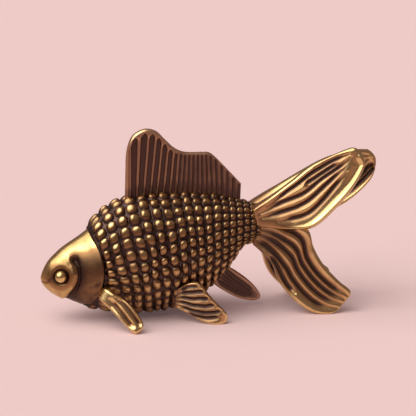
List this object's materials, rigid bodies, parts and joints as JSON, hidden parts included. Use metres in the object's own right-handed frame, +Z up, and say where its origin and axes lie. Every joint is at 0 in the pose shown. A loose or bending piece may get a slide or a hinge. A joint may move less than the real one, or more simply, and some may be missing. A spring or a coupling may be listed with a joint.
{
  "type": "goldfish figurine",
  "caption": "Small antiqued cast-brass goldfish ornament with a scale coat, ribbed fins and a forked double tail, standing nose down on its paired fins and tail.",
  "frame": {"origin": "on the resting surface, under the middle of the figurine's bounding box", "axes": "+X from snout to tail along the figurine's length, +Y to the fish's right across its width, +Z up"},
  "size_m": [0.0524, 0.0192, 0.0283],
  "materials": {
    "cast_scales": "antiqued cast brass, dark patina left in the grooves between the scales",
    "polished_head": "antiqued cast brass rubbed bright",
    "eye_beads": "cast brass bead, rubbed bright in a dark ring",
    "dark_fins": "antiqued cast brass, dark brown with worn edges",
    "bright_fins": "antiqued cast brass with rubbed ribs and dark folds"
  },
  "bodies": {
    "root": {"trunk": "cast_scales", "head": "polished_head", "left_eye": "eye_beads", "right_eye": "eye_beads", "dorsal_fin": "dark_fins", "left_pectoral_fin": "bright_fins", "right_pectoral_fin": "bright_fins", "left_pelvic_fin": "bright_fins", "right_pelvic_fin": "bright_fins", "anal_fin": "dark_fins", "left_tail_fin": "bright_fins", "right_tail_fin": "bright_fins"}
  },
  "joints": []
}
